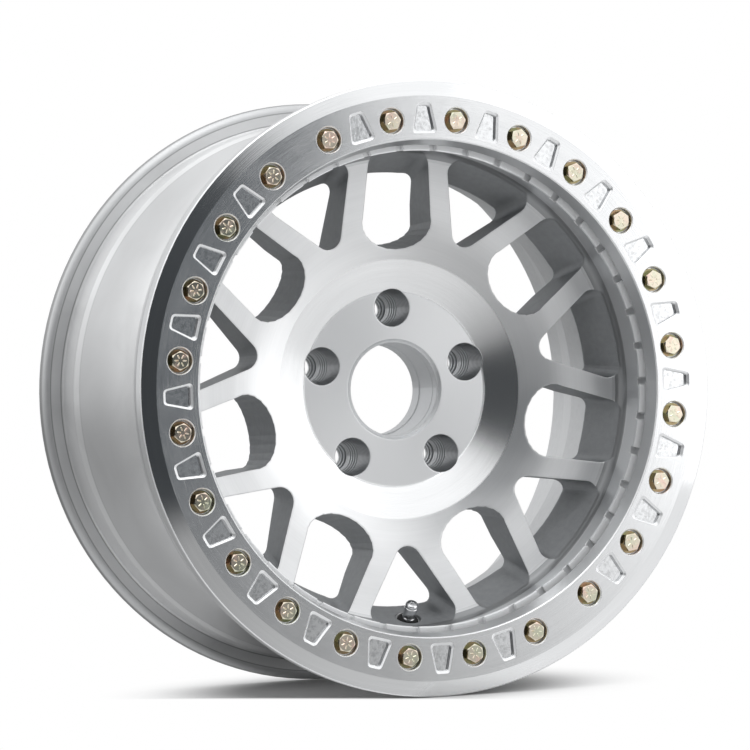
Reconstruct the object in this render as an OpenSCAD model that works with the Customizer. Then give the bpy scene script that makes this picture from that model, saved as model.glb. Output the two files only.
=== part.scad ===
// Seventeen inch beadlock wheel: one machined casting, a bolted clamp ring and a tyre valve.
// Everything is drawn with the axle line along Z and the street side up, then turned upright.

/* [Rim] */
// Width between the two faces that hold the tyre beads
rim_w = 228.6; // [215:0.1:245]
// Diameter of the seats that the tyre beads sit on
seat_d = 436.6; // [430:0.1:445]
// Height of the rear flange above its bead seat
flange_h = 17.3; // [14:0.1:19]
// Thickness of the rear flange
flange_t = 10.5; // [9:0.5:13]
// Radius that rounds the flange's rim on the tyre side
flange_round = 7; // [5:0.5:8]
// Depth of the well that lets the tyre on, below the bead seats
well_depth = 34.3; // [32:0.1:36]
// Wall thickness of the barrel
barrel_wall = 8; // [6:0.5:9]
// Distance from the hub's mounting face forward to the rim's centre plane
offset = 0; // [-6:0.5:6]

/* [Front shoulder] */
// Height of the shoulder that backs the outer tyre bead, above its bead seat
shoulder_h = 13.7; // [10:0.1:15.5]
// Thickness of that shoulder at its rim
shoulder_t = 6; // [4:0.5:9]
// Clear width between the shoulder and the clamp ring
bead_gap = 11.3; // [9:0.1:13]
// Width of the flat front face that carries the clamp ring, from its lip out to the bead seat
face_w = 36; // [34:0.1:37.5]
// Distance from the bead seat in to the dish wall, where it meets the spokes
dish_in = 32.8; // [31:0.1:34]
// Radius where the spoke faces sweep up into the dish wall
dish_fillet = 10; // [6:0.5:13]
// Number of notches in the lip, which let water out from under the clamp ring
notch_count = 42; // [20:2:48]
// Width of the notches in the lip
notch_w = 5.5; // [4:0.5:9]
// Depth of those notches
notch_depth = 3; // [1:0.5:4]

/* [Spokes] */
// Number of window pairs; each pair is one round-ended and one pointed window
window_pairs = 7; // [5:1:8]
// Height of the spoke face above the mounting face at the hub cone's rim
spoke_face_h = 60; // [54:0.5:66]
// Rise of the spoke face for each millimetre outwards
spoke_face_slope = 0.165; // [0.08:0.005:0.2]
// Rise of the spoke back for each millimetre outwards
spoke_back_slope = 0.424; // [0.36:0.002:0.45]
// Ledge between the windows' outer end and the dish wall
window_ledge = 2.1; // [1:0.1:5]
// Radius of the rounded corners at the outer end of the windows
window_corner = 8; // [5:0.5:10]
// Slope of the windows' outer wall, inwards for each millimetre of depth
window_slope = 0.372; // [0.25:0.002:0.4]
// Radius at which the round-ended windows begin
round_window_r = 107; // [105:0.5:112]
// Greatest width of the round-ended windows
round_window_w = 58; // [50:0.5:60]
// Radial length of their rounded inner end
round_end_l = 23; // [18:0.5:28]
// Angle at which their sides close towards the rim
round_side_angle = 4.8; // [2:0.1:6]
// Radius at which the pointed windows begin
point_window_r = 122.8; // [119:0.1:128]
// Angle between a side and the middle of the pointed windows
point_side_angle = 31.8; // [29:0.1:32.5]
// Radius of the inner tip of the pointed windows
point_tip_r = 11.8; // [9:0.1:13]

/* [Hub] */
// Thickness of the hub at its front disc
hub_t = 49.6; // [44:0.2:54]
// Diameter of the flat front disc
disc_d = 151.8; // [148:0.2:158]
// Outer diameter of the turned cone round the disc
cone_d = 202; // [196:0.5:208]
// Diameter of the mounting face
pad_d = 156; // [150:0.5:166]
// Diameter of the hub centre bore
bore_d = 71.5; // [60:0.1:74]
// Length of the centre bore that fits round the vehicle's hub
bore_l = 13.8; // [8:0.1:25]
// Step by which the bore is wider in front of that, all round
bore_step = 0.7; // [0.3:0.1:3]
// Depth below the disc of the groove that holds a centre cap
cap_groove_in = 9; // [7:0.5:20]
// Width of the ledge round the bore's mouth
mouth_ledge = 1.4; // [0.5:0.1:4]
// Width and depth of the bevel round that ledge
mouth_bevel = 1.5; // [0.5:0.1:2.5]
// Number of wheel nuts
lug_count = 5; // [4:1:6]
// Diameter of the circle that the wheel nuts lie on
lug_pcd = 127; // [120:0.1:135]
// Diameter of the holes for the wheel studs
lug_hole_d = 15.8; // [14:0.1:17]
// Diameter of the front pockets for the wheel nuts
lug_pocket_d = 29.3; // [26:0.1:31]
// Height above the mounting face at which the pockets start to narrow
lug_pocket_h = 24; // [20:0.5:32]
// Diameter of the throat behind the pockets
lug_throat_d = 23; // [20:0.1:25.5]
// Height above the mounting face of the throat's wide end
lug_throat_h = 14; // [12:0.5:18]
// Height above the mounting face of the throat's end, where the conical nut seat starts
lug_seat_h = 9; // [8:0.5:11]

/* [Clamp ring] */
// Distance by which the clamp ring stands out past the casting's shoulder
ring_over = 3.2; // [0:0.1:5]
// Distance from the casting's lip out to the ring's inner edge at its front
ring_in_front = 7.3; // [4:0.1:10]
// Distance from the casting's lip out to the ring's inner edge at its back
ring_in_back = 4.2; // [1:0.1:6]
// Thickness of the clamp ring
ring_t = 12.7; // [11:0.1:15]
// Width of the outer bevel
bevel_w = 12; // [6:0.5:14]
// Depth of the outer bevel
bevel_depth = 2.4; // [1:0.1:3]
// Height of the land on the ring's back that bears on the casting
land_h = 5; // [3:0.1:6]
// Width of that land
land_w = 20; // [16:0.5:22]
// Width of the small bevel on sharp machined edges
edge_bevel = 0.8; // [0.3:0.1:1.2]

/* [Ring bolts] */
// Number of bolts round the clamp ring
bolt_count = 24; // [16:2:26]
// Distance from the casting's lip out to the circle that the bolts lie on
bolt_out = 23.2; // [21:0.1:25]
// Width of a bolt's hexagonal head across its flats
hex_w = 12.7; // [11:0.1:13]
// Height of a bolt head
hex_h = 5.3; // [4:0.1:6.5]
// Diameter of the bolt shanks
shank_d = 7.9; // [6:0.1:8.5]
// Length of a bolt below its head
shank_l = 25.4; // [22:0.1:28]
// Outer diameter of the washers
washer_d = 17.5; // [15.8:0.1:18]
// Thickness of the washers
washer_t = 1.6; // [1:0.1:2.2]
// Depth of the pockets that the bolt heads sit in
head_pocket_depth = 6; // [4.5:0.1:7]
// Gap all round between a washer and its pocket
washer_gap = 0.95; // [0.5:0.05:1.2]

/* [Ring pockets] */
// Radial length of the milled pockets between the bolts
pocket_l = 23.4; // [18:0.1:25]
// Width of a pocket at its inner side
pocket_in_w = 20.7; // [17:0.1:23]
// Width of a pocket at its outer side
pocket_out_w = 12.8; // [11:0.1:15]
// Depth of a pocket
pocket_depth = 3.6; // [2:0.1:5]
// Width of the bevel round a pocket
pocket_bevel = 1.9; // [1:0.1:2.4]
// Depth of that bevel
pocket_bevel_depth = 1.1; // [0.6:0.1:1.6]
// Radius of a pocket's corners
pocket_corner = 3.2; // [2:0.1:4]
// Place of the first flat that has no pocket, counted in bolts to the left of the top
plain_first = 2; // [0:1:5]

/* [Valve] */
// Diameter of the valve hole in the rim
valve_hole_d = 11.5; // [10.5:0.1:12.5]
// Diameter of the flat spot that is milled round the valve
spot_d = 20; // [19:0.1:22]
// Depth of that flat spot at its middle
spot_depth = 3.2; // [2.8:0.1:4]
// Distance along the rim's slope from the spoke face to the valve
valve_down = 15; // [13:0.5:17]
// Lean of the valve from the radius towards the street
valve_lean = 38; // [34:0.5:40]
// Thickness of the rim that the rubber grommet grips
grip_t = 6; // [4:0.1:8]
// Diameter of the rubber grommet's flanges
grommet_d = 17; // [15:0.1:18.5]
// Thickness of the rubber grommet's flanges
grommet_t = 2.4; // [1.5:0.1:2.7]
// Diameter of the valve stem
stem_d = 7.7; // [6.5:0.1:8.2]
// Diameter of the sleeve nut and the cap
cap_d = 10.4; // [10:0.1:12]
// Height of the sleeve nut
nut_h = 3; // [2:0.1:5]
// Height of the cap
cap_h = 13; // [11:0.1:15]
// Travel of the pin in the valve's core
pin_travel = 1.5; // [1:0.1:2]

/* [Hidden] */
// Overshoot of the cutting shapes
cut = 1;
round_fn = 96;
small_fn = 32;
seat_r = seat_d / 2;
flange_r = seat_r + flange_h;
well_r = seat_r - well_depth;
shoulder_r = seat_r + shoulder_h;
lip_r = seat_r - face_w;
dish_r = seat_r - dish_in;
window_r = dish_r - window_ledge;
ring_r = shoulder_r + ring_over;
ring_front_r = lip_r + ring_in_front;
ring_back_r = lip_r + ring_in_back;
bolt_r = lip_r + bolt_out;
// Planes across the axle: outer bead face, inner bead face, the casting's bolt face and the rear end
bead_z = offset + rim_w / 2;
rear_bead_z = offset - rim_w / 2;
bolt_face_z = bead_z - land_h;
ring_face_z = bead_z + ring_t;
shoulder_z = bead_z - bead_gap;
rear_z = rear_bead_z - flange_t;
// A round-ended window is at the top, and the pointed window at the bottom holds the valve
pair_angle = 360 / window_pairs;
bolt_angle = 360 / bolt_count;
head_pocket_d = washer_d + 2 * washer_gap;
head_seat_z = ring_face_z - head_pocket_depth + washer_t;

// Height of the spoke face and of the spoke back at radius r
function face_z(r) = spoke_face_h + spoke_face_slope * (r - cone_d / 2);
function back_z(r) = spoke_back_slope * (r - pad_d / 2);
// Radius of the windows' outer wall at height z
window_top_z = face_z(window_r) + 2;
function wall_r(z) = window_r - window_slope * (window_top_z - z);
// Points on an arc round c from angle a to angle b
function arc(c, r, a, b, n) = [for (i = [0:n]) c + r * [cos(a + (b - a) * i / n), sin(a + (b - a) * i / n)]];

// Turns the drawing upright: street side towards -Y, top towards +Z
module upright() {
    rotate([90, 0, 0]) children();
}

// The turned section of the casting, as radius and height
module casting_section() {
    well_front = offset + 39;
    well_rear = offset - 1;
    inner_well = well_r - barrel_wall;
    seat_wall = barrel_wall + 1;
    rear_round = flange_t - flange_round - 0.5;
    sweep_c = [dish_r - dish_fillet, face_z(dish_r - dish_fillet) + dish_fillet];
    cap_bore_r = bore_d / 2 + bore_step;
    polygon(concat(
        [
            [bore_d / 2, edge_bevel],
            [bore_d / 2 + edge_bevel, 0],
            [pad_d / 2 - edge_bevel, 0],
            [pad_d / 2 + edge_bevel, back_z(pad_d / 2 + edge_bevel)],
            [inner_well, back_z(inner_well)],
            [inner_well, well_rear],
            [seat_r - 30, offset - 23],
            [seat_r - seat_wall - 1.5, offset - 84],
            [seat_r - seat_wall + 1, rear_bead_z + 5],
            [flange_r - 10, rear_z + 1],
            [flange_r - 9, rear_z]
        ],
        arc([flange_r - rear_round, rear_z + rear_round], rear_round, 270, 360, 4),
        arc([flange_r - flange_round, rear_bead_z - flange_round], flange_round, 0, 90, 8),
        [
            [seat_r + 1.5, rear_bead_z],
            [seat_r + 0.4, rear_bead_z + 0.4],
            [seat_r - 0.1, rear_bead_z + 1.5],
            [seat_r - 1.7, rear_bead_z + 21],
            [seat_r - 0.5, rear_bead_z + 24.5],
            [seat_r - 0.5, rear_bead_z + 27],
            [seat_r - 3, rear_bead_z + 33],
            [seat_r - 21.5, offset - 23],
            [well_r + 1.5, well_rear + 2],
            [well_r, well_rear + 8],
            [well_r, well_front],
            [well_r + 10, well_front + 18],
            [seat_r - 16, shoulder_z - 26],
            [seat_r - 11, shoulder_z - 17],
            [seat_r + 2, shoulder_z - 9],
            [shoulder_r - 3, shoulder_z - shoulder_t],
            [shoulder_r, shoulder_z - shoulder_t + 2],
            [shoulder_r, shoulder_z - 1.5],
            [shoulder_r - 1.5, shoulder_z],
            [seat_r, shoulder_z],
            [seat_r, bolt_face_z - 1],
            [seat_r - 1, bolt_face_z],
            [lip_r + edge_bevel, bolt_face_z],
            [lip_r, bolt_face_z - edge_bevel],
            [dish_r, sweep_c[1] + 3]
        ],
        arc(sweep_c, dish_fillet, 0, -80, 6),
        [
            [cone_d / 2, spoke_face_h],
            [disc_d / 2 + 0.6, hub_t + 0.6],
            [disc_d / 2, hub_t],
            [cap_bore_r + mouth_ledge + mouth_bevel, hub_t],
            [cap_bore_r + mouth_ledge, hub_t - mouth_bevel],
            [cap_bore_r, hub_t - mouth_bevel],
            [cap_bore_r, hub_t - cap_groove_in],
            [cap_bore_r + 0.5, hub_t - cap_groove_in - 0.2],
            [cap_bore_r + 0.5, hub_t - cap_groove_in - 0.8],
            [cap_bore_r, hub_t - cap_groove_in - 1],
            [cap_bore_r, bore_l + bore_step],
            [bore_d / 2, bore_l]
        ]
    ));
}

// Whole outline from its right half; a point on the middle line isn't repeated
function both_sides(half) = concat(
    half,
    [for (i = [len(half) - 1:-1:0]) if (half[i][0] > 0.001) [-half[i][0], half[i][1]]]
);

// Corner circle of a window's outer end: its distance out along the side line through p at angle g
function corner_c(p, g) =
    let (d = [sin(g), cos(g)], m = p * d, k = window_r - window_corner)
    p + d * (-m + sqrt(m * m - p * p + k * k));

// Outline of the round-ended window at the spoke face, with its middle along +Y
function round_outline() =
    let (
        a = round_window_w / 2,
        middle = round_window_r + round_end_l,
        e = round_side_angle,
        c = corner_c([a, middle] - window_corner * [cos(e), sin(e)], -e),
        f = atan2(c[1], c[0])
    )
    both_sides(concat(
        [for (i = [0:6]) [a * sin(15 * i), middle - round_end_l * cos(15 * i)]],
        arc(c, window_corner, e, f, 6),
        arc([0, 0], window_r, f + 3, 90, 2)
    ));

// Outline of the pointed window at the spoke face, with its middle along +Y
point_apex = point_window_r + point_tip_r - point_tip_r / sin(point_side_angle);
function point_outline() =
    let (
        g = point_side_angle,
        tip = [0, point_window_r + point_tip_r],
        c = corner_c([0, point_apex + window_corner / sin(g)], g),
        f = atan2(c[1], c[0])
    )
    both_sides(concat(
        arc(tip, point_tip_r, -90, -g, 4),
        arc(c, window_corner, -g, f, 6),
        arc([0, 0], window_r, f + 3, 90, 2)
    ));

// One window cut: the outline grows towards the street about the radius fixed_r
module window_cut(outline, fixed_r, keep_width) {
    low_z = back_z(round_window_r) - 8;
    high_z = window_top_z + 2;
    low = (wall_r(low_z) - fixed_r) / (window_r - fixed_r);
    high = (wall_r(high_z) - fixed_r) / (window_r - fixed_r);
    points = [for (p = outline) [keep_width ? p[0] : p[0] * low, (p[1] - fixed_r) * low]];
    translate([0, fixed_r, low_z])
        linear_extrude(height = high_z - low_z, scale = [keep_width ? 1 : high / low, high / low],
            slices = 1) polygon(points);
}

// One wheel nut hole: front pocket, the cone behind it, throat, conical seat and stud hole
module lug_cut() {
    seat_depth = (lug_throat_d - lug_hole_d) / 2 / tan(30);
    translate([0, 0, lug_pocket_h]) cylinder(h = spoke_face_h, d = lug_pocket_d, $fn = small_fn);
    translate([0, 0, lug_throat_h])
        cylinder(h = lug_pocket_h - lug_throat_h + 0.01, d1 = lug_throat_d, d2 = lug_pocket_d,
            $fn = small_fn);
    translate([0, 0, lug_seat_h])
        cylinder(h = lug_throat_h - lug_seat_h + 0.01, d = lug_throat_d, $fn = small_fn);
    translate([0, 0, lug_seat_h - seat_depth])
        cylinder(h = seat_depth + 0.01, d1 = lug_hole_d, d2 = lug_throat_d, $fn = small_fn);
    translate([0, 0, -cut]) cylinder(h = hub_t, d = lug_hole_d, $fn = small_fn);
}

// Valve frame: z runs along the stem from the flat spot towards the wheel's middle and the street
valve_z = window_top_z - valve_down * cos(atan(window_slope));
module at_valve() {
    rotate([0, 0, 180]) translate([0, wall_r(valve_z), valve_z]) rotate([90 - valve_lean, 0, 0])
        children();
}

// Reach of the valve hole towards the tyre
tyre_side = 45;
module valve_cut() {
    at_valve() {
        translate([0, 0, -spot_depth]) cylinder(h = 30, d = spot_d, $fn = small_fn);
        translate([0, 0, -tyre_side]) cylinder(h = tyre_side, d = valve_hole_d, $fn = small_fn);
        translate([0, 0, -tyre_side]) cylinder(h = tyre_side - grip_t - spot_depth, d = spot_d + 2,
            $fn = small_fn);
    }
}

module wheel_casting() {
    color([0.74, 0.75, 0.76]) upright() difference() {
        rotate_extrude($fn = round_fn) casting_section();
        for (i = [0:window_pairs - 1]) {
            rotate(i * pair_angle) window_cut(round_outline(), round_window_r + 18, true);
            rotate((i + 0.5) * pair_angle) window_cut(point_outline(), point_apex, false);
        }
        for (i = [0:lug_count - 1])
            rotate(i * 360 / lug_count) translate([0, lug_pcd / 2, 0]) lug_cut();
        for (i = [0:bolt_count - 1])
            rotate((i + 0.5) * bolt_angle) translate([0, bolt_r, bolt_face_z - bolt_reach - 1.5])
                cylinder(h = shank_l, d = shank_d + 0.2, $fn = small_fn);
        for (i = [0:notch_count - 1])
            rotate((i + 0.5) * 360 / notch_count)
                translate([-notch_w / 2, lip_r - 4, bolt_face_z - notch_depth])
                cube([notch_w, ring_in_back + 8, notch_depth + cut]);
        valve_cut();
    }
}

// Length of bolt that is in the casting
bolt_reach = shank_l - (head_seat_z - bolt_face_z);

// Section of the clamp ring, as radius and height
module ring_section() {
    land_out = bolt_r + land_w / 2;
    land_in = bolt_r - land_w / 2;
    polygon([
        [ring_back_r, bead_z],
        [land_in, bead_z],
        [land_in, bolt_face_z],
        [land_out, bolt_face_z],
        [land_out, bead_z],
        [ring_r - edge_bevel, bead_z],
        [ring_r, bead_z + edge_bevel],
        [ring_r, ring_face_z - bevel_depth - edge_bevel],
        [ring_r - edge_bevel, ring_face_z - bevel_depth],
        [ring_r - bevel_w, ring_face_z],
        [ring_front_r + edge_bevel, ring_face_z],
        [ring_front_r, ring_face_z - edge_bevel]
    ]);
}

// Outline of a pocket, shrunk by s all round
module pocket_outline(s) {
    r = pocket_corner - s / 2;
    half = pocket_l / 2 - s;
    inner = pocket_in_w / 2 - s;
    outer = pocket_out_w / 2 - s;
    lean = atan((inner - outer) / (2 * half));
    low = [inner - r * (1 + sin(lean)) / cos(lean), r - half];
    high = [outer - r * (1 - sin(lean)) / cos(lean), half - r];
    polygon(both_sides(concat(arc(low, r, -90, lean, 5), arc(high, r, lean, 90, 4))));
}

// One milled pocket with its bevelled rim
module pocket_cut() {
    // The bevel widens the narrow outer side by the same amount as the rest
    widen = pocket_in_w / (pocket_in_w - 2 * pocket_bevel);
    lengthen = pocket_l / (pocket_l - 2 * pocket_bevel);
    translate([0, bolt_r + 0.5, 0]) {
        translate([0, 0, ring_face_z - pocket_depth]) linear_extrude(height = pocket_depth + cut)
            pocket_outline(pocket_bevel);
        translate([0, 0, ring_face_z - pocket_bevel_depth])
            linear_extrude(height = pocket_bevel_depth + 0.01, slices = 1, scale = [widen, lengthen])
            pocket_outline(pocket_bevel);
    }
}

module beadlock_ring() {
    color([0.82, 0.83, 0.84]) upright() difference() {
        rotate_extrude($fn = round_fn) ring_section();
        for (i = [0:bolt_count - 1]) rotate((i + 0.5) * bolt_angle) translate([0, bolt_r, 0]) {
            translate([0, 0, ring_face_z - head_pocket_depth])
                cylinder(h = head_pocket_depth + cut, d = head_pocket_d, $fn = small_fn);
            translate([0, 0, ring_face_z - edge_bevel])
                cylinder(h = edge_bevel + 0.01, d1 = head_pocket_d, d2 = head_pocket_d + 2 * edge_bevel,
                    $fn = small_fn);
            translate([0, 0, bolt_face_z - cut])
                cylinder(h = ring_t + land_h, d = shank_d + 0.8, $fn = small_fn);
        }
        for (i = [0:bolt_count - 1])
            if ((i - plain_first) % (bolt_count / 2) != 0) rotate(i * bolt_angle) pocket_cut();
    }
}

// One hexagonal bolt with a bevelled head, its head seat at z = 0
module hex_bolt() {
    intersection() {
        cylinder(h = hex_h, d = hex_w / cos(30), $fn = 6);
        union() {
            cylinder(h = hex_h - 0.6, d = hex_w * 1.2, $fn = small_fn);
            translate([0, 0, hex_h - 0.6])
                cylinder(h = 0.6, d1 = hex_w * 1.13, d2 = hex_w * 0.96, $fn = small_fn);
        }
    }
    translate([0, 0, -shank_l]) cylinder(h = shank_l + 0.5, d = shank_d, $fn = small_fn);
}

module ring_bolts() {
    color([0.78, 0.66, 0.42]) upright() for (i = [0:bolt_count - 1])
        rotate((i + 0.5) * bolt_angle) translate([0, bolt_r, head_seat_z])
            rotate(i * 37) hex_bolt();
}

module ring_washers() {
    color([0.55, 0.5, 0.3]) upright() for (i = [0:bolt_count - 1])
        rotate((i + 0.5) * bolt_angle) translate([0, bolt_r, head_seat_z - washer_t]) difference() {
            cylinder(h = washer_t, d = washer_d, $fn = small_fn);
            translate([0, 0, -cut]) cylinder(h = washer_t + 2 * cut, d = shank_d + 0.6, $fn = small_fn);
        }
}

// Heights along the valve, from the flat spot
grommet_top = grommet_t - spot_depth;
grommet_low = -grip_t - spot_depth - grommet_t;
nut_top = grommet_top + nut_h;
stem_top = nut_top + cap_h - 3.4;
// Clearance between pieces that fit into each other
bore_gap = 0.1;
// The core sits in a wide bore at the stem's top
core_bore_d = 5.2;
core_l = 7;

module valve_grommet() {
    color([0.05, 0.05, 0.05]) upright() at_valve() rotate_extrude($fn = small_fn) polygon([
        [stem_d / 2 + bore_gap, grommet_low],
        [grommet_d / 2 - 0.6, grommet_low],
        [grommet_d / 2, grommet_low + 0.6],
        [grommet_d / 2, -grip_t - spot_depth - 0.05],
        [valve_hole_d / 2 - bore_gap, -grip_t - spot_depth - 0.05],
        [valve_hole_d / 2 - bore_gap, -spot_depth + 0.05],
        [grommet_d / 2, -spot_depth + 0.05],
        [grommet_d / 2, grommet_top - 1],
        [grommet_d / 2 - 1.2, grommet_top],
        [stem_d / 2 + bore_gap, grommet_top]
    ]);
}

module valve_stem() {
    color([0.8, 0.78, 0.7]) upright() at_valve() rotate_extrude($fn = small_fn) polygon([
        [1.4, grommet_low - 2.5],
        [6.5, grommet_low - 2.5],
        [7, grommet_low - 2],
        [7, grommet_low - 0.05],
        [stem_d / 2, grommet_low - 0.05],
        [stem_d / 2, stem_top - 0.6],
        [stem_d / 2 - 0.6, stem_top],
        [core_bore_d / 2, stem_top],
        [core_bore_d / 2, stem_top - core_l - 2],
        [1.4, stem_top - core_l - 3]
    ]);
}

module valve_nut() {
    color([0.85, 0.85, 0.86]) upright() at_valve() rotate_extrude($fn = small_fn) polygon([
        [stem_d / 2 + bore_gap, grommet_top + 0.05],
        [cap_d / 2 - 0.3, grommet_top + 0.05],
        [cap_d / 2, grommet_top + 0.4],
        [cap_d / 2, nut_top - 0.4],
        [cap_d / 2 - 0.4, nut_top],
        [stem_d / 2 + bore_gap, nut_top]
    ]);
}

// The core's body: a sleeve in the stem with a bridge that guides the pin
pin_d = 1.6;
core_top = stem_top - 0.8;
module valve_core() {
    color([0.75, 0.62, 0.3]) upright() at_valve() rotate_extrude($fn = small_fn) polygon([
        [pin_d / 2 + bore_gap, core_top - core_l],
        [core_bore_d / 2 - 0.05, core_top - core_l],
        [core_bore_d / 2 - 0.05, core_top],
        [pin_d / 2 + 1.1, core_top],
        [pin_d / 2 + 1.1, core_top - core_l + 1.2],
        [pin_d / 2 + bore_gap, core_top - core_l + 1.2]
    ]);
}

// The spring is a plain sleeve on the core's floor, as long as it is when the pin is pressed
spring_low = core_top - core_l + 1.2;
head_low = core_top - 1.4;
spring_top = head_low - pin_travel - 0.1;
module core_spring() {
    color([0.5, 0.5, 0.52]) upright() at_valve() translate([0, 0, spring_low]) difference() {
        cylinder(h = spring_top - spring_low, r = pin_d / 2 + 0.8, $fn = small_fn);
        translate([0, 0, -cut]) cylinder(h = core_l + 2 * cut, r = pin_d / 2 + 0.3, $fn = small_fn);
    }
}

module valve_pin() {
    color([0.8, 0.7, 0.4]) upright() at_valve() rotate_extrude($fn = small_fn) polygon([
        [0, core_top - core_l - 1.2],
        [pin_d / 2, core_top - core_l - 1.2],
        [pin_d / 2, head_low],
        [pin_d / 2 + 0.8, head_low],
        [pin_d / 2 + 0.8, head_low + 0.5],
        [pin_d / 2, head_low + 0.5],
        [pin_d / 2, core_top + 0.5],
        [0, core_top + 0.5]
    ]);
}

// The cap is open below, with room for the stem and for its seal
cap_low = nut_top + 0.1;
cap_top = cap_low + cap_h;
cap_gap = 0.25;
seal_t = 0.8;
cap_floor = stem_top + seal_t + 0.35;
module valve_cap() {
    color([0.85, 0.85, 0.86]) upright() at_valve() rotate_extrude($fn = small_fn) polygon(concat(
        [
            [stem_d / 2 + cap_gap, cap_low],
            [cap_d / 2 - 0.3, cap_low],
            [cap_d / 2, cap_low + 0.4],
            [cap_d / 2, cap_top - 3.9],
            [cap_d / 2 - 0.4, cap_top - 3.6],
            [cap_d / 2 - 0.4, cap_top - 3.2],
            [cap_d / 2, cap_top - 2.9]
        ],
        arc([cap_d / 2 - 2.4, cap_top - 2.4], 2.4, 0, 75, 5),
        [
            [1.7, cap_top],
            [1.3, cap_top - 0.6],
            [0, cap_top - 0.6],
            [0, cap_floor],
            [stem_d / 2 + cap_gap, cap_floor]
        ]
    ));
}

module cap_seal() {
    color([0.1, 0.1, 0.1]) upright() at_valve() translate([0, 0, cap_floor - seal_t - 0.05])
        cylinder(h = seal_t, d = stem_d, $fn = small_fn);
}

wheel_casting();
beadlock_ring();
ring_bolts();
ring_washers();
valve_grommet();
valve_stem();
valve_nut();
valve_core();
core_spring();
valve_pin();
valve_cap();
cap_seal();
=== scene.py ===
"""The looks of a beadlock wheel: finishes, small added pieces, studio, lights and camera.

Everything is in metres, in the part's own frame: the axle runs along Y, the street side faces -Y
and the top is towards +Z. Names that end in R are radii, and names that end in Y are places along
the axle.
"""

import math

import bpy
from mathutils import Matrix, Vector


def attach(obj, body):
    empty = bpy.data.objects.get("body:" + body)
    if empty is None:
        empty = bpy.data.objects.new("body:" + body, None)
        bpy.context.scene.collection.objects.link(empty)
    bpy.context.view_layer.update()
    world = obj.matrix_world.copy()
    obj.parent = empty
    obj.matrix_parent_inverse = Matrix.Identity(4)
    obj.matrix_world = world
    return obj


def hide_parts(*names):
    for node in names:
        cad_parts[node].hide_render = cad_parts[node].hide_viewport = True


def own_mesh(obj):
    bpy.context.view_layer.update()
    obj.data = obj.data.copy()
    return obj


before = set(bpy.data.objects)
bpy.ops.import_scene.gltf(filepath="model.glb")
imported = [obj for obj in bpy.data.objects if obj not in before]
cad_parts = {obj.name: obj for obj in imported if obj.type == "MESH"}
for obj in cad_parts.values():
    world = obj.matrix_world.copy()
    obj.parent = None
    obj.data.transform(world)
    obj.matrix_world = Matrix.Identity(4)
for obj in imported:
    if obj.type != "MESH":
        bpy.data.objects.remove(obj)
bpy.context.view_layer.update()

# The casting's front: the notched lip behind the clamp ring, the dish and its fillet
LIP_Y = -0.107
LIP_OUTER_R = 0.189
NOTCH_BACK_Y = LIP_Y + 0.004
NOTCH_LIT_X = 0.06
NOTCH_SHADED_X = 0.10
FRONT_EDGE_Y = -0.0745
FILLET_Y = -0.066
FILLET_FRONT_Y = FILLET_Y - 0.016
FILLET_R = 0.168

# The hub and the spokes
BORE_MOUTH_R = 0.0394
DISC_R = 0.0762
CONE_R = 0.1012
LUG_COUNT = 5
LUG_CIRCLE_R = 0.0635
LUG_POCKET_R = 0.0149
LUG_SEAT_Y = -0.001
RIB_PITCH = 0.0026
SPOKE_INNER_R = 0.1005
SPOKE_GLOSSY_R = 0.11
SPOKE_DULL_R = 0.15
# Radii of a painted highlight across the spokes' middle
SPOKE_HIGHLIGHT_R = (0.125, 0.145, 0.155, 0.17)
WINDOW_OUTER_R = 0.1848

# The barrel: its well, a band of painted shade before the hump, the bead seat and the rear flange
WELL_INNER_R = 0.1756
WELL_INNER_Y = -0.0418
BAND_START_Y = 0.015
BAND_FULL_Y = 0.06
HUMP_Y = 0.0812
SEAT_END_Y = 0.0933
REAR_FLANGE_Y = 0.1
FLANGE_FACE_Y = REAR_FLANGE_Y + 0.012
FLANGE_INNER_R = 0.2200
FLANGE_SEAT_R = 0.2286
FLANGE_OUTER_R = 0.2354
LINE_CORE = 0.0002

# Which way a face looks: its normal's share along the axle, where -1 is the street side, and its
# normal's share away from the axle times its radius
FRONT_FACING = -0.9
REAR_FACING = 0.3
SIDE_FACING = 0.6
FACES_OUT = 0.03
FACES_IN = -0.02
DISH_STEEP = -0.09
DISH_SLIGHT = -0.036

# The clamp ring: its milled pockets, its slanted faces with a painted highlight, its upright faces
# with painted shade, and its bolts, each turned some degrees more than the one before it
POCKET_FLOOR_Y = -0.1234
POCKET_FLOOR_SPREAD = 0.0004
RING_SLANT_FACING = (-0.95, -0.91)
RING_SIDE_FACING = (-0.6, -0.5)
BOLT_COUNT = 24
BOLT_CIRCLE_R = 0.2055
BOLT_TOP_Y = -0.1279
BOLT_TURN = 37
MARK_COUNT = 6
MARK_START = 0.0016
MARK_LENGTH = 0.0032
MARK_WIDTH = 0.0011
MARK_HEIGHT = 0.0005

# The valve's axis: a point on the wall that carries it, and the direction the cap comes off
VALVE_BASE = Vector((0, -0.061537, -0.17817))
VALVE_AXIS = Vector((0, -0.615661, 0.788011))
THREAD_R = 0.00375
THREAD_RIDGE_R = 0.00028
THREAD_LOW = 0.0024
THREAD_TOP = 0.0110
THREAD_PITCH = 0.0008
SPRING_LOW = 0.0052
SPRING_TOP = 0.0095
SPRING_R = 0.00135
SPRING_WIRE_R = 0.0002
SPRING_TURNS = 4

# The floor, with a painted shadow that lightens out to SHADOW_PALE_R, and how far from the wheel's
# middle its shadow reaches: all round, and towards the camera, where it ends at a line across the view
FLOOR_Z = -0.2356
FLOOR_SIZE = 40
SHADOW_R = 0.10
SHADOW_PALE_R = 0.20
SHADOW_END_R = 0.23
VIEW_X = 0.78
VIEW_Y = 0.762
SHADOW_FRONT = -0.100
SHADOW_FRONT_END = -0.122

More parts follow.
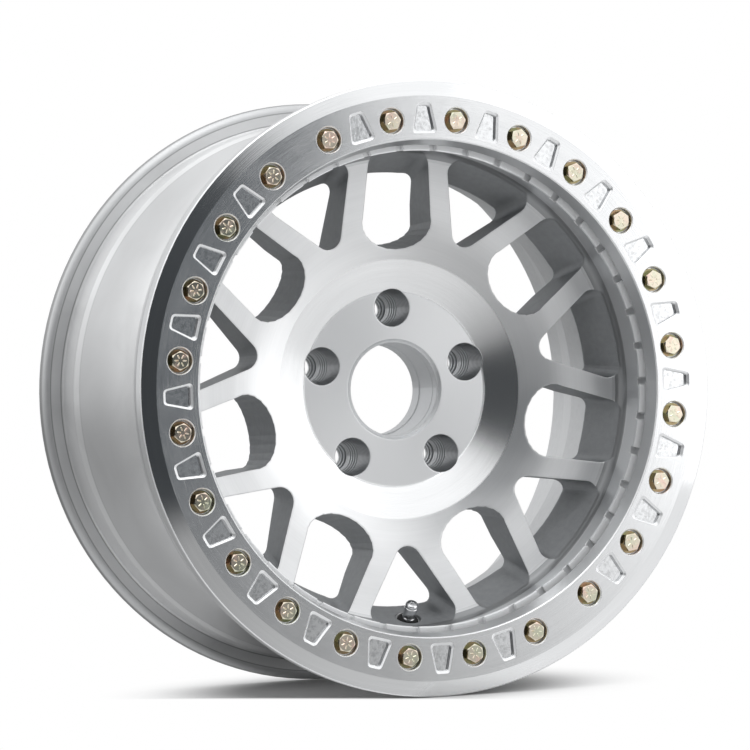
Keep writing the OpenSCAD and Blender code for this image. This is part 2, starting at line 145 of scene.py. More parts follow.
# The tent's dark opening, where the camera stands, in degrees as seen from the wheel: turns count
# to the right from the direction that the street side faces, rises count upwards
OPENING_LEFT = -50
OPENING_RIGHT = 22.8
OPENING_LOW = -15
OPENING_LOW_RIGHT = -2.0
OPENING_HIGH = 23
OPENING_FLOOR_SLANT = 0.38
OPENING_RIGHT_LEAN = 0.15
OPENING_SHADE_TURN = (-10, 20)
LEFT_BLUR = 12
RIGHT_BLUR = 1.2
LOW_BLUR = 2.6
HIGH_BLUR = 4

# Where the tent's parts begin and end, in the same degrees: its front, its floor's lit right side
# and lit foot, the line where floor and walls meet, and its brighter top
FRONT_TURN = (90, 130)
LIT_TURN = (22, 27)
LIT_RISE = (-42, -15)
FLOOR_RISE = (-3, 0)
TOP_RISE = (25, 40)

# How bright the tent and its floor are to metal that mirrors them
TENT_FRONT = 1.05
TENT_REAR = 0.90
TENT_TOP_EXTRA = 0.12
TENT_TINT = 0.005
FLOOR_DIM = 0.37
FLOOR_LIT = 0.85
FLOOR_REAR = 0.42


# Node helpers

def fill(tree, node, inputs):
    """Links a node's inputs to the sockets given for them, and sets them to any other value."""
    for key, value in inputs.items():
        if isinstance(value, bpy.types.NodeSocket):
            tree.links.new(value, node.inputs[key])
        else:
            node.inputs[key].default_value = value


def add(tree, kind, inputs=None, **settings):
    """A new node with its settings and inputs."""
    made = tree.nodes.new(kind)
    for name, value in settings.items():
        setattr(made, name, value)
    fill(tree, made, inputs or {})
    return made


def maths(tree, operation, *values):
    """The output of a Math node that works on the given values or sockets."""
    return add(tree, "ShaderNodeMath", dict(enumerate(values)), operation=operation).outputs[0]


def over(tree, value, limit):
    """A mask: 1 where a value is over a limit, and 0 elsewhere."""
    return maths(tree, "GREATER_THAN", value, limit)


def under(tree, value, limit):
    """A mask: 1 where a value is under a limit, and 0 elsewhere."""
    return maths(tree, "LESS_THAN", value, limit)


def either(tree, a, b):
    """The larger of two masks or values."""
    return maths(tree, "MAXIMUM", a, b)


def invert(tree, mask):
    """All that a mask leaves out."""
    return maths(tree, "SUBTRACT", 1.0, mask)


def all_of(tree, *masks):
    """Where every one of the masks is."""
    total = masks[0]
    for mask in masks[1:]:
        total = maths(tree, "MULTIPLY", total, mask)
    return total


def ramp(tree, value, low, high, to_low=0.0, to_high=1.0):
    """A smooth step from to_low, where the value is low, to to_high, where it is high."""
    inputs = {"Value": value, "From Min": low, "From Max": high, "To Min": to_low, "To Max": to_high}
    return add(tree, "ShaderNodeMapRange", inputs, interpolation_type="SMOOTHSTEP").outputs[0]


def mix(tree, factor, a, b):
    """A blend of two colours, which a Mix node takes at inputs 6 and 7 and gives at output 2."""
    return add(tree, "ShaderNodeMix", {0: factor, 6: a, 7: b}, data_type="RGBA").outputs[2]


def blend_values(tree, factor, a, b):
    """A blend of two numbers."""
    return add(tree, "ShaderNodeMix", {"Factor": factor, "A": a, "B": b}).outputs[0]


def split(tree, vector):
    """The X, Y and Z of a vector."""
    return add(tree, "ShaderNodeSeparateXYZ", {0: vector}).outputs


def noise(tree, place, scale, detail, **settings):
    """The value of a noise texture."""
    inputs = {"Vector": place, "Scale": scale, "Detail": detail, **settings}
    return add(tree, "ShaderNodeTexNoise", inputs).outputs[0]


def grey(value, warmth=0.0):
    """A nearly neutral colour; warmth above 0 turns it towards yellow, below 0 towards blue."""
    return (value * (1 + warmth), value, value * (1 - warmth), 1.0)


def new_group(name, inputs, outputs):
    """An empty shader node group with named sockets: (group, its input node, its output node)."""
    group = bpy.data.node_groups.new(name, "ShaderNodeTree")
    for label, kind, value in inputs:
        socket = group.interface.new_socket(label, in_out="INPUT", socket_type=kind)
        if value is not None:
            socket.default_value = value
    for label in outputs:
        group.interface.new_socket(label, in_out="OUTPUT", socket_type="NodeSocketFloat")
    return group, group.nodes.new("NodeGroupInput"), group.nodes.new("NodeGroupOutput")


def use(tree, group, **inputs):
    """The outputs of one use of a node group in a material."""
    made = add(tree, "ShaderNodeGroup", node_tree=group)
    fill(tree, made, inputs)
    return made.outputs


# Effects that several finishes share

def make_round_places():
    """Where a point lies from the axle, and from the nearest of some places on a circle round it."""
    group, given, out = new_group(
        "round_places",
        [
            ("Position", "NodeSocketVector", None),
            ("Count", "NodeSocketFloat", 5.0),
            ("Circle", "NodeSocketFloat", 0.1),
        ],
        ["Radius", "Distance"],
    )
    xyz = split(group, given.outputs["Position"])
    square = maths(group, "ADD", maths(group, "POWER", xyz[0], 2.0), maths(group, "POWER", xyz[2], 2.0))
    radius = maths(group, "SQRT", square)
    angle = maths(group, "ARCTAN2", maths(group, "MULTIPLY", xyz[0], -1.0), xyz[2])
    half_step = maths(group, "DIVIDE", math.pi, given.outputs["Count"])
    folded = maths(group, "WRAP", angle, half_step, maths(group, "MULTIPLY", half_step, -1.0))
    across = maths(group, "MULTIPLY", radius, maths(group, "SINE", folded))
    out_by = maths(
        group, "SUBTRACT", maths(group, "MULTIPLY", radius, maths(group, "COSINE", folded)),
        given.outputs["Circle"],
    )
    square = maths(group, "ADD", maths(group, "POWER", across, 2.0), maths(group, "POWER", out_by, 2.0))
    distance = maths(group, "SQRT", square)
    fill(group, out, {"Radius": radius, "Distance": distance})
    return group


def make_turned_lines():
    """Fine rings that a lathe leaves, which fade in and out round the wheel."""
    group, given, out = new_group(
        "turned_lines",
        [
            ("Position", "NodeSocketVector", None),
            ("Lines", "NodeSocketFloat", 900.0),
            ("Fading", "NodeSocketFloat", 3.0),
        ],
        ["Height", "Shade"],
    )
    xyz = split(group, given.outputs["Position"])
    flat = add(group, "ShaderNodeCombineXYZ", {0: xyz[0], 2: xyz[2]}).outputs[0]
    radius = add(group, "ShaderNodeVectorMath", {0: flat}, operation="LENGTH").outputs["Value"]
    around = add(group, "ShaderNodeVectorMath", {0: flat}, operation="NORMALIZE").outputs[0]
    turned = split(group, around)
    across = maths(group, "ADD", radius, xyz[1])
    place = add(
        group, "ShaderNodeCombineXYZ",
        {
            0: maths(group, "MULTIPLY", turned[0], given.outputs["Fading"]),
            1: maths(group, "MULTIPLY", across, given.outputs["Lines"]),
            2: maths(group, "MULTIPLY", turned[2], given.outputs["Fading"]),
        },
    ).outputs[0]
    fine = noise(group, place, 1.0, 3.0, Roughness=0.65)
    wide = noise(group, place, 0.12, 2.0, Roughness=0.5)
    shade = maths(group, "MULTIPLY", maths(group, "ADD", fine, wide), 0.5)
    fill(group, out, {"Height": fine, "Shade": shade})
    return group


def sized_place(group, given):
    """A group's Position, counted in its Size."""
    scale = maths(group, "DIVIDE", 1.0, given.outputs["Size"])
    inputs = {0: given.outputs["Position"], "Scale": scale}
    return add(group, "ShaderNodeVectorMath", inputs, operation="SCALE").outputs[0]


def make_cast_grain():
    """Small pits and bumps of a surface as cast, or of a rough milled floor."""
    group, given, out = new_group(
        "cast_grain",
        [("Position", "NodeSocketVector", None), ("Size", "NodeSocketFloat", 0.001)],
        ["Height", "Shade"],
    )
    place = sized_place(group, given)
    bumps = noise(group, place, 1.0, 4.0, Roughness=0.6)
    pits = add(group, "ShaderNodeTexVoronoi", {"Vector": place, "Scale": 0.8}).outputs[0]
    height = maths(group, "ADD", bumps, maths(group, "MULTIPLY", pits, 0.4))
    fill(group, out, {"Height": height, "Shade": noise(group, place, 0.25, 2.0)})
    return group


def make_handling():
    """Soft patches where a surface is a little duller, from handling and cleaning."""
    group, given, out = new_group(
        "handling",
        [("Position", "NodeSocketVector", None), ("Size", "NodeSocketFloat", 0.05)],
        ["Amount"],
    )
    patches = noise(group, sized_place(group, given), 1.0, 3.0, Roughness=0.55, Distortion=0.6)
    fill(group, out, {"Amount": ramp(group, patches, 0.4, 0.7)})
    return group


round_places = make_round_places()
turned_lines = make_turned_lines()
cast_grain = make_cast_grain()
handling = make_handling()


# Finishes

def new_finish(name):
    """A new material: (material, tree, its Principled shader, object coordinates, object normal)."""
    material = bpy.data.materials.new(name)
    material.use_nodes = True
    tree = material.node_tree
    shader = tree.nodes["Principled BSDF"]
    place = tree.nodes.new("ShaderNodeTexCoord")
    return material, tree, shader, place.outputs["Object"], place.outputs["Normal"]


def lay_zones(tree, colour, rough, metal, zones):
    """Lays zones over a base; each has a mask, colour, roughness and metal, and None changes nothing."""
    for mask, zone_colour, zone_rough, zone_metal in zones:
        if zone_colour is not None:
            colour = mix(tree, mask, colour, zone_colour)
        if zone_rough is not None:
            rough = blend_values(tree, mask, rough, zone_rough)
        if zone_metal is not None:
            metal = blend_values(tree, mask, metal, zone_metal)
    return colour, rough, metal


def dress(tree, shader, colour, rough, metal, height, edge=0.0):
    """Feeds the shader; height is relief in metres, and edges are worn round by the edge's radius."""
    relief = {"Height": height, "Strength": 1.0, "Distance": 1.0}
    if edge:
        relief["Normal"] = add(tree, "ShaderNodeBevel", {"Radius": edge}, samples=4).outputs[0]
    normal = add(tree, "ShaderNodeBump", relief).outputs[0]
    fill(tree, shader, {"Base Color": colour, "Roughness": rough, "Metallic": metal, "Normal": normal})


def turned_tangent(tree, shader, amount):
    """Stretches the gloss across the rings of a turned surface."""
    tangent = add(tree, "ShaderNodeTangent", direction_type="RADIAL", axis="Y")
    tree.links.new(tangent.outputs[0], shader.inputs["Tangent"])
    shader.inputs["Anisotropic"].default_value = amount
    shader.inputs["Anisotropic Rotation"].default_value = 0.25


def painted_shade_lines(tree, radius, along):
    """Fine dark lines of painted shade round the barrel: on the rear flange's face, at the bead seat and
    at the hump.
    """
    flange = over(tree, along, FLANGE_FACE_Y)
    before = invert(tree, flange)
    total = None
    for value, place, mask, width, depth in [
        (radius, FLANGE_SEAT_R, flange, 0.0007, 0.6),
        (radius, FLANGE_INNER_R, flange, 0.0007, 0.6),
        (radius, FLANGE_OUTER_R, flange, 0.0012, 0.7),
        (along, SEAT_END_Y, before, 0.0007, 0.5),
        (along, HUMP_Y, before, 0.0012, 0.2),
    ]:
        off = maths(tree, "ABSOLUTE", maths(tree, "SUBTRACT", value, place))
        line = all_of(tree, ramp(tree, off, LINE_CORE, width, depth, 0), mask)
        total = line if total is None else either(tree, total, line)
    return total


def make_machined_casting():
    """Aluminium casting: turned front, satin window walls darkened with painted shade, a barrel dulled
    in patches by handling and darkened by painted shade, plain satin behind.
    """
    material, tree, shader, position, normal = new_finish("machined_casting")
    xyz = split(tree, position)
    along = xyz[1]
    facing = split(tree, normal)[1]
    lug = use(tree, round_places, Position=position, Count=float(LUG_COUNT), Circle=LUG_CIRCLE_R)
    radius = lug["Radius"]
    from_axle = add(tree, "ShaderNodeVectorMath", {0: position, 1: (1, 0, 1)}, operation="MULTIPLY")
    outwards = add(
        tree, "ShaderNodeVectorMath", {0: normal, 1: from_axle.outputs[0]}, operation="DOT_PRODUCT"
    ).outputs["Value"]

    # Masks of the casting's zones
    front = under(tree, facing, FRONT_FACING)
    at_well = all_of(tree, over(tree, radius, WELL_INNER_R), over(tree, along, WELL_INNER_Y))
    window_wall = all_of(
        tree,
        under(tree, maths(tree, "ABSOLUTE", facing), SIDE_FACING),
        over(tree, radius, SPOKE_INNER_R),
        under(tree, radius, WINDOW_OUTER_R),
        over(tree, along, FRONT_EDGE_Y),
        invert(tree, at_well),
    )
    outside = all_of(
        tree,
        either(tree, over(tree, outwards, FACES_OUT), over(tree, along, REAR_FLANGE_Y)),
        over(tree, radius, WELL_INNER_R),
    )
    rear = all_of(tree, over(tree, facing, REAR_FACING), invert(tree, outside))
    inside = all_of(tree, under(tree, outwards, FACES_IN), at_well)
    plain = either(tree, rear, inside)
    dish = all_of(
        tree,
        ramp(tree, outwards, DISH_STEEP, DISH_SLIGHT, 1, 0),
        under(tree, along, FILLET_Y),
        over(tree, radius, FILLET_R),
    )
    # Painted dark reflection on the fillet where the spokes meet the dish
    fillet = all_of(tree, dish, over(tree, along, FILLET_FRONT_Y))
    inner_lip = under(tree, radius, LIP_OUTER_R)
    lip = all_of(tree, under(tree, along, LIP_Y), front, inner_lip)
    # Painted light on the notch walls: bright at the left, fading out to the right, where they keep
    # their shade
    notch_painted_light = all_of(
        tree,
        under(tree, along, NOTCH_BACK_Y),
        over(tree, facing, FRONT_FACING),
        inner_lip,
        ramp(tree, xyz[0], NOTCH_LIT_X, NOTCH_SHADED_X, 1, 0),
    )
    cone = under(tree, radius, CONE_R)
    disc = under(tree, radius, DISC_R)
    bore = under(tree, radius, BORE_MOUTH_R)
    lug_pocket = all_of(
        tree, under(tree, lug["Distance"], LUG_POCKET_R), under(tree, along, LUG_SEAT_Y)
    )

    lines = use(tree, turned_lines, Position=position, Lines=1100.0, Fading=2.5)
    grain = use(tree, cast_grain, Position=position, Size=0.0012)
    dull = use(tree, handling, Position=position, Size=0.07)
    ribs = maths(tree, "SINE", maths(tree, "MULTIPLY", along, 2 * math.pi / RIB_PITCH))

    # Colours of the larger zones
    turned = mix(tree, lines["Shade"], grey(0.80, -0.008), grey(0.96, -0.006))
    satin = mix(tree, grain["Shade"], grey(0.66, -0.01), grey(0.74, -0.01))
    # The window walls' dark grey is painted shade
    wall_painted_shade = mix(tree, grain["Shade"], grey(0.29, -0.03), grey(0.37, -0.03))
    # Painted highlight on the lug pocket ribs' crests and painted shade in their grooves
    ribs_painted_light_and_shade = mix(tree, ramp(tree, ribs, -0.8, 0.9), grey(0.38, -0.02), grey(0.74, -0.02))
    # The barrel: duller patches from handling and a darker flange, with painted shade laid over them
    clouded_and_painted_shade = mix(tree, dull["Amount"], grey(0.75, -0.006), grey(0.68, -0.006))
    clouded_and_painted_shade = mix(tree, over(tree, radius, FLANGE_SEAT_R), clouded_and_painted_shade, grey(0.63, -0.01))
    # Painted shade: a darker band on the barrel before the hump
    band = all_of(tree, ramp(tree, along, BAND_START_Y, BAND_FULL_Y, 0, 0.6), under(tree, along, HUMP_Y))
    clouded_and_painted_shade = mix(tree, band, clouded_and_painted_shade, grey(0.52, -0.01))
    # Thin lines of painted shade at the barrel's edges and steps
    clouded_and_painted_shade = mix(tree, painted_shade_lines(tree, radius, along), clouded_and_painted_shade, grey(0.25, -0.01))

    # The turned front is the base, glossy by the hub and duller along the spokes
    rough = ramp(tree, radius, SPOKE_GLOSSY_R, SPOKE_DULL_R, 0.28, 0.45)
    rough = maths(tree, "MULTIPLY_ADD", dull["Amount"], 0.05, rough)
    colour, rough, metal = lay_zones(tree, turned, rough, 1.0, [
        (cone, None, 0.24, None),
        (disc, grey(0.88, -0.008), 0.28, None),
        (outside, clouded_and_painted_shade, 0.50, None),
        (dish, grey(0.60, -0.02), 0.42, None),
        (fillet, grey(0.32, -0.02), None, None),
        (lip, grey(0.80, -0.01), 0.50, 0.35),
        (notch_painted_light, grey(0.95, -0.01), None, 0.1),
        (bore, grey(0.72, -0.015), 0.50, None),
        (plain, satin, 0.52, None),
        (window_wall, wall_painted_shade, 0.50, 0.7),
        (lug_pocket, ribs_painted_light_and_shade, 0.28, None),
    ])
    # A painted highlight across the spokes' middle: less metal there makes the band lighter
    inner_start, inner_full, outer_full, outer_end = SPOKE_HIGHLIGHT_R
    spoke_highlight = all_of(
        tree,
        ramp(tree, radius, inner_start, inner_full),
        ramp(tree, radius, outer_full, outer_end, 1, 0),
        front,
    )
    metal = maths(tree, "MULTIPLY_ADD", spoke_highlight, -0.25, metal)

    fine = maths(tree, "MULTIPLY", lines["Height"], 0.00002)
    coarse = maths(tree, "MULTIPLY", grain["Height"], 0.00012)
    height = blend_values(tree, either(tree, plain, window_wall), fine, coarse)
    height = blend_values(tree, lug_pocket, height, maths(tree, "MULTIPLY", ribs, 0.00010))
    dress(tree, shader, colour, rough, metal, height, edge=0.0016)
    turned_tangent(tree, shader, 0.6)
    return material


def make_machined_ring():
    """Bright turned clamp ring with rough milled pocket floors, a painted highlight on its slanted faces
    and painted shade on its upright ones.
    """
    material, tree, shader, position, normal = new_finish("machined_ring")
    along = split(tree, position)[1]
    facing = split(tree, normal)[1]
    off_floor = maths(tree, "ABSOLUTE", maths(tree, "SUBTRACT", along, POCKET_FLOOR_Y))
    floor = all_of(tree, under(tree, facing, FRONT_FACING), under(tree, off_floor, POCKET_FLOOR_SPREAD))
    # Slanted faces get a painted highlight, and upright faces get painted shade
    slanted = ramp(tree, facing, *RING_SLANT_FACING)
    side = ramp(tree, facing, *RING_SIDE_FACING)

    lines = use(tree, turned_lines, Position=position, Lines=1500.0, Fading=4.0)
    grain = use(tree, cast_grain, Position=position, Size=0.0026)
    dull = use(tree, handling, Position=position, Size=0.05)

    turned = mix(tree, lines["Shade"], grey(0.80, -0.01), grey(0.99, -0.006))
    milled = mix(tree, ramp(tree, grain["Height"], 0.45, 0.85), grey(0.76, -0.01), grey(0.98, -0.01))
    rough = blend_values(tree, dull["Amount"], 0.085, 0.11)
    colour, rough, metal = lay_zones(tree, turned, rough, 1.0, [
        (floor, milled, 0.10, None),
        (slanted, grey(0.95, -0.008), 0.45, None),
        (side, grey(0.66, -0.012), 0.32, None),
    ])
    fine = maths(tree, "MULTIPLY", lines["Height"], 0.000018)
    coarse = maths(tree, "MULTIPLY", grain["Height"], 0.000013)
    height = blend_values(tree, floor, fine, coarse)
    dress(tree, shader, colour, rough, metal, height, edge=0.0005)
    turned_tangent(tree, shader, 0.55)
    return material


def make_zinc(name, tints, roughness):
    """Yellow zinc plating, whose tint drifts between gold, pink and olive."""
    material, tree, shader, position, _ = new_finish(name)
    grain = use(tree, cast_grain, Position=position, Size=0.0012)
    dull = use(tree, handling, Position=position, Size=0.009)
    drift = use(tree, handling, Position=position, Size=0.016)
    colour = mix(tree, dull["Amount"], tints[0], tints[1])
    colour = mix(tree, drift["Amount"], colour, tints[2])
    rough = blend_values(tree, dull["Amount"], roughness, roughness + 0.12)
    height = maths(tree, "MULTIPLY", grain["Height"], 0.000003)
    dress(tree, shader, colour, rough, 1.0, height)
    return material


def make_plain_metal(name, low, high, roughness):
    """Plated or bare metal with a faint grain and a little handling."""
    material, tree, shader, position, _ = new_finish(name)
    grain = use(tree, cast_grain, Position=position, Size=0.0008)
    dull = use(tree, handling, Position=position, Size=0.006)
    colour = mix(tree, grain["Shade"], low, high)
    rough = blend_values(tree, dull["Amount"], roughness, roughness + 0.08)
    height = maths(tree, "MULTIPLY", grain["Height"], 0.00001)
    dress(tree, shader, colour, rough, 1.0, height)
    return material


def make_rubber():
    """Black moulded rubber with a fine grain."""
    material, tree, shader, position, _ = new_finish("black_rubber")
    grain = use(tree, cast_grain, Position=position, Size=0.0005)
    dull = use(tree, handling, Position=position, Size=0.008)
    colour = mix(tree, dull["Amount"], grey(0.012), grey(0.022))
    rough = blend_values(tree, dull["Amount"], 0.55, 0.7)
    height = maths(tree, "MULTIPLY", grain["Height"], 0.00004)
    dress(tree, shader, colour, rough, 0.0, height)
    return material


finishes = {
    "machined_casting": make_machined_casting(),
    "machined_ring": make_machined_ring(),
    "zinc_bolts": make_zinc(
        "zinc_bolts", [(0.88, 0.79, 0.65, 1), (0.90, 0.68, 0.58, 1), (0.76, 0.77, 0.60, 1)], 0.075
    ),
    "zinc_washers": make_zinc(
        "zinc_washers", [(0.40, 0.31, 0.18, 1), (0.46, 0.27, 0.16, 1), (0.28, 0.30, 0.16, 1)], 0.12
    ),
    "black_rubber": make_rubber(),
    "plated_valve": make_plain_metal("plated_valve", grey(0.72, -0.01), grey(0.80, -0.01), 0.10),
    "valve_brass": make_plain_metal("valve_brass", (0.70, 0.50, 0.24, 1), (0.80, 0.60, 0.32, 1), 0.24),
    "spring_steel": make_plain_metal("spring_steel", grey(0.44, -0.01), grey(0.55, -0.01), 0.28),
}
node_finishes = {
    "wheel_casting": "machined_casting",
    "beadlock_ring": "machined_ring",
    "ring_bolts": "zinc_bolts",
    "ring_washers": "zinc_washers",
    "valve_grommet": "black_rubber",
    "cap_seal": "black_rubber",
    "valve_stem": "valve_brass",
    "valve_core": "valve_brass",
    "valve_pin": "valve_brass",
    "valve_nut": "plated_valve",
    "valve_cap": "plated_valve",
    "core_spring": "spring_steel",
}
for node_name, finish_name in node_finishes.items():
    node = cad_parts[node_name]
    if not node.material_slots:
        node.data.materials.append(finishes[finish_name])
    for material_slot in node.material_slots:
        material_slot.material = finishes[finish_name]


# New pieces

def deselect():
    """Leaves edit mode and lets go of all that is selected."""
    if bpy.context.object and bpy.context.object.mode != "OBJECT":
        bpy.ops.object.mode_set(mode="OBJECT")
    bpy.ops.object.select_all(action="DESELECT")


def only(piece):
    """Makes a piece the one that operators work on."""
    deselect()
    piece.select_set(True)
    bpy.context.view_layer.objects.active = piece


def settle(piece, name, finish, body):
    """Puts a piece's place into its mesh, and gives it its name, finish and body."""
    only(piece)
    bpy.ops.object.transform_apply(location=True, rotation=True, scale=True)
    piece.name = name
    piece.data.name = name
    piece.data.materials.clear()
    piece.data.materials.append(finishes[finish])
    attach(piece, body)
    return piece


def copy_of(piece, place):
    """A copy with its own mesh, with its vertices moved by a matrix."""
    made = piece.copy()
    made.data = piece.data.copy()
    made.data.transform(place)
    bpy.context.collection.objects.link(made)
    return made


def joined(pieces):
    """The first of the pieces, with the others joined to it."""
    deselect()
    for piece in pieces:
        piece.select_set(True)
    bpy.context.view_layer.objects.active = pieces[0]
    bpy.ops.object.join()
    return pieces[0]


def make_grade_marks():
    """Six raised bars on each bolt head, for the bolt's strength grade."""
    deselect()
    bpy.ops.mesh.primitive_cube_add(size=1, location=(0, 0, MARK_START + MARK_LENGTH / 2))
    bar = bpy.context.object
    bar.scale = (MARK_WIDTH, MARK_HEIGHT * 2, MARK_LENGTH)
    bpy.ops.object.transform_apply(location=True, rotation=True, scale=True)
    bpy.ops.object.mode_set(mode="EDIT")
    bpy.ops.mesh.select_all(action="SELECT")
    bpy.ops.mesh.bevel(offset=MARK_HEIGHT * 0.85, segments=1, affect="EDGES")
    bpy.ops.object.mode_set(mode="OBJECT")
    bars = [
        copy_of(bar, Matrix.Rotation(math.radians(k * 360 / MARK_COUNT), 4, "Y"))
        for k in range(MARK_COUNT)
    ]
    bpy.data.objects.remove(bar)
    star = joined(bars)
    stars = []
    for k in range(BOLT_COUNT):
        place = Matrix.Rotation(-math.radians((k + 0.5) * 360 / BOLT_COUNT), 4, "Y")
        place = place @ Matrix.Translation((0, BOLT_TOP_Y, BOLT_CIRCLE_R))
        place = place @ Matrix.Rotation(-math.radians(k * BOLT_TURN), 4, "Y")
        stars.append(copy_of(star, place))
    bpy.data.objects.remove(star)
    marks = joined(stars)
    only(marks)
    bpy.ops.object.shade_flat()
    settle(marks, "grade_marks", "zinc_bolts", "wheel")


def valve_place(along):
    """The matrix that carries a piece drawn along Z to a height along the valve."""
    turn = VALVE_AXIS.to_track_quat("Z", "X").to_matrix().to_4x4()
    return Matrix.Translation(VALVE_BASE + VALVE_AXIS * along) @ turn


def coil(radius, wire_r, height, turns, sides, steps):
    """A helical tube along Z from z = 0, made by screwing a circle, with its ends closed."""
    deselect()
    bpy.ops.mesh.primitive_circle_add(
        vertices=sides, radius=wire_r, fill_type="NOTHING", location=(radius, 0, 0),
        rotation=(math.pi / 2, 0, 0),
    )
    tube = bpy.context.object
    bpy.ops.object.transform_apply(location=True, rotation=True, scale=True)
    screw = tube.modifiers.new("screw", "SCREW")
    screw.axis = "Z"
    screw.angle = 2 * math.pi
    screw.iterations = turns
    screw.screw_offset = height / turns
    screw.steps = steps
    screw.render_steps = steps
    bpy.ops.object.modifier_apply(modifier=screw.name)
    bpy.ops.object.mode_set(mode="EDIT")
    bpy.ops.mesh.select_all(action="DESELECT")
    bpy.ops.mesh.select_non_manifold()
    bpy.ops.mesh.fill_holes(sides=sides)
    bpy.ops.mesh.select_all(action="SELECT")
    bpy.ops.mesh.normals_make_consistent(inside=False)
    bpy.ops.object.mode_set(mode="OBJECT")
    return tube


def make_valve_thread():
    """The thread that the cap screws on to, a low ridge round the stem."""
    turns = int((THREAD_TOP - THREAD_LOW) / THREAD_PITCH)
    ridge = coil(THREAD_R, THREAD_RIDGE_R, turns * THREAD_PITCH, turns, sides=6, steps=32)
    ridge.data.transform(valve_place(THREAD_LOW))
    only(ridge)
    bpy.ops.object.shade_smooth_by_angle(angle=math.radians(40))
    settle(ridge, "valve_thread", "valve_brass", "wheel")


def make_coil_spring():
    """The core's coil spring, which shortens as the pin goes in."""
    height = SPRING_TOP - SPRING_LOW - 2 * SPRING_WIRE_R
    spring = coil(SPRING_R, SPRING_WIRE_R, height, SPRING_TURNS, sides=8, steps=24)
    spring.data.transform(valve_place(SPRING_LOW + SPRING_WIRE_R))
    only(spring)
    bpy.ops.object.shade_smooth()
    settle(spring, "coil_spring", "spring_steel", "wheel")
    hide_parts("core_spring")
    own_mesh(spring)


make_grade_marks()
make_valve_thread()
make_coil_spring()


# Studio

def make_floor():
    """A light grey floor that keeps the wheel's shadow, darkened near the wheel by painted shadow, and
    turns white away from it.

    The shadow also ends at a line in front of the wheel, as in the photograph. Metal mirrors the
    floor only near the wheel, and mirrors the tent past that.
    """
    deselect()
    bpy.ops.mesh.primitive_plane_add(size=FLOOR_SIZE, location=(0, 0, FLOOR_Z))
    floor = bpy.context.object
    floor.name = "studio_floor"
    material = bpy.data.materials.new("studio_floor")
    material.use_nodes = True
    tree = material.node_tree
    tree.nodes.clear()
    place = tree.nodes.new("ShaderNodeTexCoord").outputs["Object"]
    away = add(tree, "ShaderNodeVectorMath", {0: place}, operation="LENGTH").outputs["Value"]
    xyz = split(tree, place)
    back = maths(tree, "MULTIPLY_ADD", xyz[1], VIEW_Y, maths(tree, "MULTIPLY", xyz[0], VIEW_X))
    far = either(
        tree,
        ramp(tree, away, SHADOW_R, SHADOW_END_R),
        ramp(tree, back, SHADOW_FRONT_END, SHADOW_FRONT, 1, 0),
    )
    light_path = tree.nodes.new("ShaderNodeLightPath").outputs
    mirrored = either(tree, light_path["Is Glossy Ray"], light_path["Is Transmission Ray"])
    # Painted shadow: the floor is a darker grey near the wheel
    floor_painted_shadow = mix(tree, ramp(tree, away, SHADOW_R, SHADOW_PALE_R), grey(0.4), grey(0.9))
    matt = add(tree, "ShaderNodeBsdfDiffuse", {"Color": floor_painted_shadow}).outputs[0]
    glow = add(tree, "ShaderNodeEmission", {"Color": grey(1.0), "Strength": 1.0}).outputs[0]
    clear = add(tree, "ShaderNodeBsdfTransparent").outputs[0]
    to_camera = all_of(tree, far, light_path["Is Camera Ray"])
    to_metal = all_of(tree, far, mirrored)
    both = add(tree, "ShaderNodeMixShader", {0: to_camera, 1: matt, 2: glow}).outputs[0]
    both = add(tree, "ShaderNodeMixShader", {0: to_metal, 1: both, 2: clear}).outputs[0]
    add(tree, "ShaderNodeOutputMaterial", {"Surface": both})
    floor.data.materials.append(material)


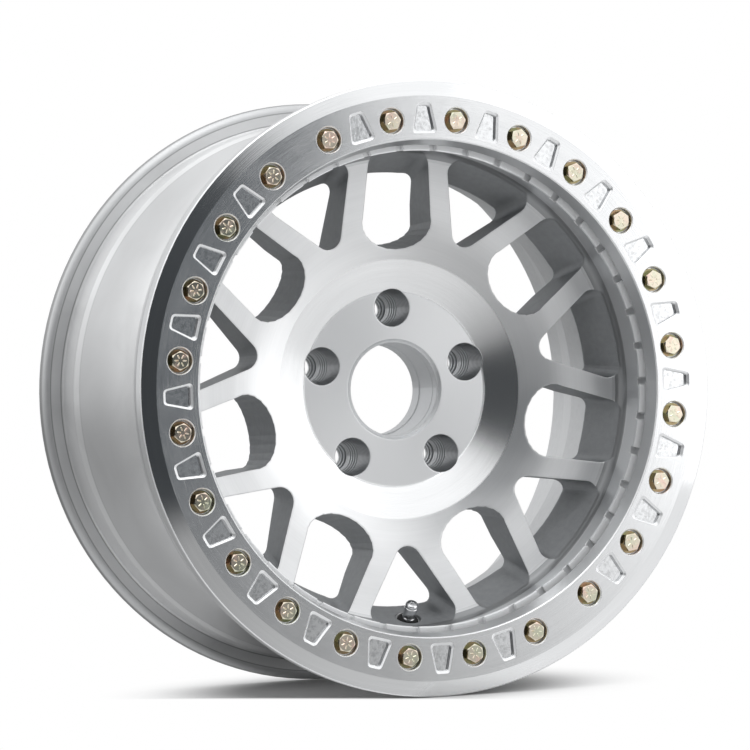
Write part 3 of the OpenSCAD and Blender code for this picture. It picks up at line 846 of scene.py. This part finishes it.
def make_world():
    """A white tent with a dark opening in front, where the camera stands."""
    world = bpy.data.worlds.new("white_tent")
    bpy.context.scene.world = world
    world.use_nodes = True
    tree = world.node_tree
    tree.nodes.clear()
    direction = tree.nodes.new("ShaderNodeTexCoord").outputs["Generated"]
    xyz = split(tree, direction)
    turn = maths(tree, "ARCTAN2", xyz[0], maths(tree, "MULTIPLY", xyz[1], -1.0))
    turn = maths(tree, "DEGREES", turn)
    rise = maths(tree, "DEGREES", maths(tree, "ARCSINE", xyz[2]))

    # The opening: its lower edge falls away to the left, and its right edge leans
    at_middle = OPENING_LOW_RIGHT - OPENING_FLOOR_SLANT * OPENING_RIGHT
    floor_line = maths(tree, "MULTIPLY_ADD", turn, OPENING_FLOOR_SLANT, at_middle)
    floor_line = either(tree, floor_line, float(OPENING_LOW))
    above_floor = maths(tree, "SUBTRACT", rise, floor_line)
    leaning = maths(tree, "MULTIPLY_ADD", rise, OPENING_RIGHT_LEAN, turn)
    opening = all_of(
        tree,
        ramp(tree, turn, OPENING_LEFT - LEFT_BLUR, OPENING_LEFT + LEFT_BLUR),
        ramp(tree, leaning, OPENING_RIGHT - RIGHT_BLUR, OPENING_RIGHT + RIGHT_BLUR, 1, 0),
        ramp(tree, above_floor, -LOW_BLUR, LOW_BLUR),
        ramp(tree, rise, OPENING_HIGH - HIGH_BLUR, OPENING_HIGH + HIGH_BLUR, 1, 0),
    )

    # The tent's walls and its floor, which is dim in front, and lit at the right and further down
    front = ramp(tree, maths(tree, "ABSOLUTE", turn), *FRONT_TURN, 1, 0)
    near_floor = either(
        tree,
        ramp(tree, turn, *LIT_TURN, FLOOR_DIM, FLOOR_LIT),
        ramp(tree, rise, *LIT_RISE, FLOOR_LIT, FLOOR_DIM),
    )
    floor = blend_values(tree, front, FLOOR_REAR, near_floor)
    walls = blend_values(tree, front, TENT_REAR, TENT_FRONT)
    walls = maths(tree, "ADD", walls, ramp(tree, rise, *TOP_RISE, 0, TENT_TOP_EXTRA))
    tent = blend_values(tree, ramp(tree, rise, *FLOOR_RISE), floor, walls)
    tent = add(
        tree, "ShaderNodeCombineColor",
        {
            0: maths(tree, "MULTIPLY", tent, 1 - TENT_TINT),
            1: tent,
            2: maths(tree, "MULTIPLY", tent, 1 + TENT_TINT),
        },
    ).outputs[0]
    dark = mix(tree, ramp(tree, turn, *OPENING_SHADE_TURN), grey(0.045, -0.08), grey(0.12, -0.08))
    colour = mix(tree, opening, tent, dark)
    seen = tree.nodes.new("ShaderNodeLightPath").outputs["Is Camera Ray"]
    colour = mix(tree, seen, colour, grey(1.0))
    background = add(tree, "ShaderNodeBackground", {"Color": colour, "Strength": 1.0}).outputs[0]
    add(tree, "ShaderNodeOutputWorld", {"Surface": background})


def add_soft_box(name, place, size, power):
    """A square soft lamp that points at the wheel's middle."""
    lamp_data = bpy.data.lights.new(name, "AREA")
    lamp_data.shape = "SQUARE"
    lamp_data.size = size
    lamp_data.energy = power
    lamp = bpy.data.objects.new(name, lamp_data)
    bpy.context.scene.collection.objects.link(lamp)
    lamp.location = place
    lamp.rotation_euler = (-Vector(place)).to_track_quat("-Z", "Y").to_euler()


make_floor()
make_world()
add_soft_box("key_soft_box", (2.6, -2.4, 0.6), size=2.4, power=10)
add_soft_box("top_soft_box", (-0.4, -0.6, 2.6), size=1.8, power=14)
add_soft_box("rear_soft_box", (-2.4, 0.8, 1.5), size=1.6, power=5)


def make_camera():
    """The photograph's camera: slightly left of the wheel's axle and turned a little about its view."""
    place = Vector((-1.1813, -2.8878, 0.0083))
    heading, pitch, roll = math.radians(-22.320), math.radians(0.060), math.radians(-1.943)
    data = bpy.data.cameras.new("camera")
    data.lens = 189.17
    data.sensor_width = 36.0
    data.clip_start = 0.1
    data.clip_end = 100.0
    camera = bpy.data.objects.new("camera", data)
    bpy.context.scene.collection.objects.link(camera)
    turn = Matrix.Rotation(heading, 4, "Z") @ Matrix.Rotation(math.pi / 2 + pitch, 4, "X")
    camera.matrix_world = Matrix.Translation(place) @ turn @ Matrix.Rotation(roll, 4, "Z")
    bpy.context.scene.camera = camera


make_camera()
bpy.context.scene.view_settings.view_transform = "Standard"
